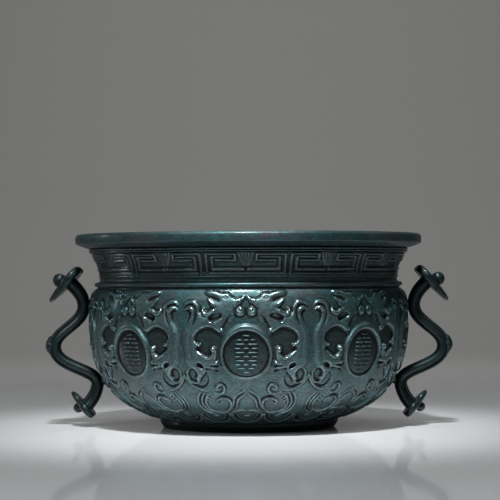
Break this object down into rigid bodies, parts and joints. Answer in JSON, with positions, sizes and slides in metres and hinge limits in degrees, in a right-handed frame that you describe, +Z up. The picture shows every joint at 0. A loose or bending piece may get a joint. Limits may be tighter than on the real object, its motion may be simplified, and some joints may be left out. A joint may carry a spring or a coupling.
{
  "type": "treasure bowl",
  "caption": "Cast copper treasure bowl with a wide flat lip, key-fret neck, dragon relief belly, low foot ring and ruyi-shaped side handles.",
  "frame": {"origin": "centre of the foot's underside, on the surface the bowl stands on", "axes": "+Z up along the bowl's turning axis, the handles at +X and -X, the front at -Y"},
  "size_m": [0.3, 0.2536, 0.141],
  "materials": {
    "bowl_patina": "cast copper with a dark green-brown patina, waxed to a satin gloss",
    "handle_left_patina": "cast copper with a dark green-brown patina, waxed, rubbed brown on its edges",
    "handle_right_patina": "cast copper with a dark green-brown patina, waxed, rubbed brown on its edges"
  },
  "bodies": {
    "root": {"bowl": "bowl_patina", "handle_left": "handle_left_patina", "handle_right": "handle_right_patina"}
  },
  "joints": []
}
